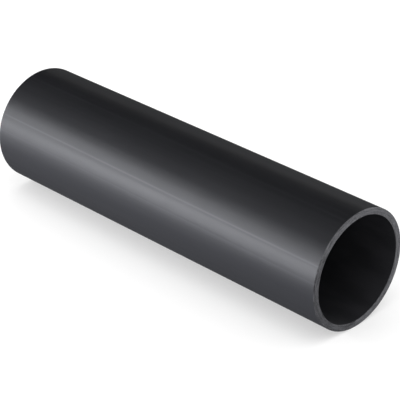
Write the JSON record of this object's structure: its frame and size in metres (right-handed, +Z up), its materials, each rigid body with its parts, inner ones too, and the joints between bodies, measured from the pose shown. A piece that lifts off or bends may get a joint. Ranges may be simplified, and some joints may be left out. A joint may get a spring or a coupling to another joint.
{
  "type": "soundproof drain pipe",
  "caption": "Straight, plain-ended black plastic drain pipe with a thick, mineral-filled wall that damps sound, sawn square at both ends.",
  "frame": {"origin": "the point the pipe rests on, on the floor below the middle of its length", "axes": "+X along the pipe's axis from one sawn end to the other, +Y sideways, +Z up; the two ends and the two sides are alike"},
  "size_m": [0.4, 0.11, 0.11],
  "materials": {
    "pipe_plastic": "black mineral-filled polyethylene: satin extruded skin, paler matt sawn ends, dull bore"
  },
  "bodies": {
    "root": {"pipe": "pipe_plastic"}
  },
  "joints": []
}
